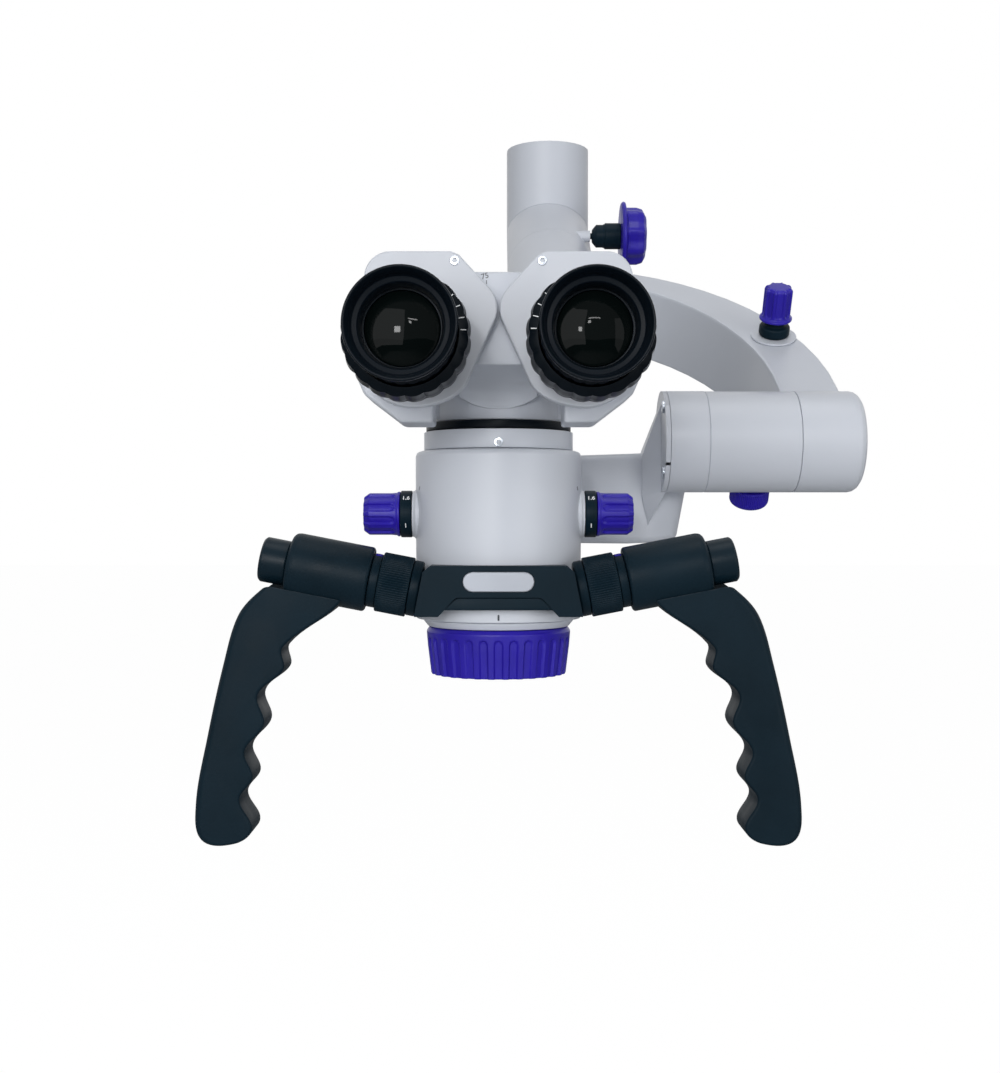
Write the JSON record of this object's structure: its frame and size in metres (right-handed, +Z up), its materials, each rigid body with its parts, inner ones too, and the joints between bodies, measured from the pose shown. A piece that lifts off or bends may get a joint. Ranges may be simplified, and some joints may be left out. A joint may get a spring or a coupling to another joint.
{
  "type": "surgical microscope",
  "caption": "Dental surgical microscope head with tilting binocular and hand grips, hung on a C-shaped arm from a vertical column.",
  "frame": {"origin": "centre of the column's top end face", "axes": "+Z up along the column, -Y towards the operator, +X to the operator's right"},
  "size_m": [0.292, 0.466, 0.3689],
  "materials": {
    "white_enamel": "satin",
    "blue_plastic": "satin",
    "black_plastic": "fine grain",
    "black_rubber": "matt",
    "black_anodised": "anodised",
    "silver_plate": "brushed",
    "machined_steel": "turned",
    "coated_glass": "coated"
  },
  "bodies": {
    "column": {"column_tube": "white_enamel", "column_elbow": "white_enamel", "swing_spindle": "machined_steel", "spindle_cap": "black_plastic"},
    "swing_lock": {"swing_lock_stem": "black_plastic", "swing_lock_knob": "blue_plastic"},
    "arm": {"curved_arm": "white_enamel", "arm_lock_washer": "machined_steel", "tilt_housing": "white_enamel", "tilt_end_cap": "white_enamel"},
    "arm_lock": {"arm_lock_collar": "black_plastic", "arm_lock_knob": "blue_plastic"},
    "friction_knob": {"tilt_friction_knob": "blue_plastic"},
    "head": {"tilt_flange": "white_enamel", "tilt_axle": "machined_steel", "head_bracket": "white_enamel", "body_shell": "white_enamel", "body_collar": "white_enamel", "dovetail_ring": "black_anodised", "lower_body_ring": "white_enamel", "handle_clamp": "black_plastic", "handle_plate": "black_plastic", "plate_cover": "black_plastic", "name_plate": "silver_plate", "left_handle_shaft": "black_plastic", "right_handle_shaft": "black_plastic", "binocular_neck": "white_enamel"},
    "focus": {"focus_ring": "blue_plastic"},
    "objective": {"objective_cell": "black_anodised", "objective_lens": "coated_glass"},
    "magnification": {"magnification_drum": "black_anodised", "left_magnification_dial": "black_plastic", "right_magnification_dial": "black_plastic", "left_magnification_knob": "blue_plastic", "right_magnification_knob": "blue_plastic"},
    "binocular": {"binocular_body": "white_enamel"},
    "left_collar": {"left_knurled_collar": "black_plastic"},
    "left_hand_grip": {"left_index_ring": "black_plastic", "left_grip_housing": "black_plastic", "left_end_cap": "black_plastic", "left_grip": "black_plastic"},
    "left_prism": {"left_prism_cover": "white_enamel", "left_prism_box": "white_enamel", "left_eyepiece_tube": "black_anodised"},
    "left_diopter": {"left_diopter_ring": "black_anodised", "left_eye_lens": "coated_glass"},
    "left_cup": {"left_eyecup": "black_rubber"},
    "right_collar": {"right_knurled_collar": "black_plastic"},
    "right_hand_grip": {"right_index_ring": "black_plastic", "right_grip_housing": "black_plastic", "right_end_cap": "black_plastic", "right_grip": "black_plastic"},
    "right_prism": {"right_prism_cover": "white_enamel", "right_prism_box": "white_enamel", "right_eyepiece_tube": "black_anodised"},
    "right_diopter": {"right_diopter_ring": "black_anodised", "right_eye_lens": "coated_glass"},
    "right_cup": {"right_eyecup": "black_rubber"}
  },
  "joints": [
    {"name": "arm_swing", "type": "hinge", "parent": "column", "child": "arm", "pos_m": [0, 0, -0.0534], "axis": [0, -0.8387, -0.5446], "range_deg": [-45, 45]},
    {"name": "swing_lock_turn", "type": "hinge", "parent": "column", "child": "swing_lock", "pos_m": [0, -0.04895, -0.06432], "axis": [1, 0, 0], "range_deg": [-90, 90]},
    {"name": "arm_lock_turn", "type": "hinge", "parent": "arm", "child": "arm_lock", "pos_m": [0.1105, -0.17515, -0.1421], "axis": [0, -0.5446, 0.8387], "range_deg": [-180, 180]},
    {"name": "friction_knob_turn", "type": "hinge", "parent": "arm", "child": "friction_knob", "pos_m": [0.0896, -0.238, -0.1997], "axis": [0, 0.5446, -0.8387], "range_deg": [-180, 180]},
    {"name": "head_tilt", "type": "hinge", "parent": "arm", "child": "head", "pos_m": [-0.0314, -0.238, -0.1997], "axis": [1, 0, 0], "range_deg": [-35, 35]},
    {"name": "focus_turn", "type": "hinge", "parent": "head", "child": "focus", "pos_m": [-0.0314, -0.298, -0.2819], "axis": [0, 0, 1], "range_deg": [-120, 120]},
    {"name": "objective_slide", "type": "slide", "parent": "head", "child": "objective", "axis": [0, 0, 1], "range_m": [-0.002, 0.002]},
    {"name": "magnification_turn", "type": "hinge", "parent": "head", "child": "magnification", "pos_m": [-0.0314, -0.298, -0.234], "axis": [1, 0, 0], "continuous": true},
    {"name": "binocular_tilt", "type": "hinge", "parent": "head", "child": "binocular", "pos_m": [-0.0314, -0.298, -0.171], "axis": [-1, 0, 0], "range_deg": [0, 60]},
    {"name": "left_collar_turn", "type": "hinge", "parent": "head", "child": "left_collar", "pos_m": [-0.0632, -0.325, -0.265], "axis": [-0.9816, 0, 0.1908], "continuous": true},
    {"name": "left_grip_turn", "type": "hinge", "parent": "head", "child": "left_hand_grip", "pos_m": [-0.0632, -0.325, -0.265], "axis": [-0.9816, 0, 0.1908], "range_deg": [-45, 45]},
    {"name": "left_pupil_swing", "type": "hinge", "parent": "binocular", "child": "left_prism", "pos_m": [-0.0434, -0.364, -0.1565], "axis": [0, 1, 0], "range_deg": [-15, 20]},
    {"name": "left_diopter_turn", "type": "hinge", "parent": "left_prism", "child": "left_diopter", "pos_m": [-0.0639, -0.368, -0.172], "axis": [0, -1, 0], "range_deg": [-90, 90]},
    {"name": "left_eyecup_slide", "type": "slide", "parent": "left_diopter", "child": "left_cup", "axis": [0, -1, 0], "range_m": [0, 0.006]},
    {"name": "right_collar_turn", "type": "hinge", "parent": "head", "child": "right_collar", "pos_m": [0.0004, -0.325, -0.265], "axis": [0.9816, 0, 0.1908], "continuous": true},
    {"name": "right_grip_turn", "type": "hinge", "parent": "head", "child": "right_hand_grip", "pos_m": [0.0004, -0.325, -0.265], "axis": [0.9816, 0, 0.1908], "range_deg": [-45, 45]},
    {"name": "right_pupil_swing", "type": "hinge", "parent": "binocular", "child": "right_prism", "pos_m": [-0.0194, -0.364, -0.1565], "axis": [0, 1, 0], "range_deg": [-20, 15]},
    {"name": "right_diopter_turn", "type": "hinge", "parent": "right_prism", "child": "right_diopter", "pos_m": [0.0011, -0.368, -0.172], "axis": [0, -1, 0], "range_deg": [-90, 90]},
    {"name": "right_eyecup_slide", "type": "slide", "parent": "right_diopter", "child": "right_cup", "axis": [0, -1, 0], "range_m": [0, 0.006]}
  ],
  "couplings": [
    {"joint": "objective_slide", "follows": "focus_turn", "m_per_rad": 0.00095},
    {"joint": "right_pupil_swing", "follows": "left_pupil_swing", "ratio": -1}
  ]
}
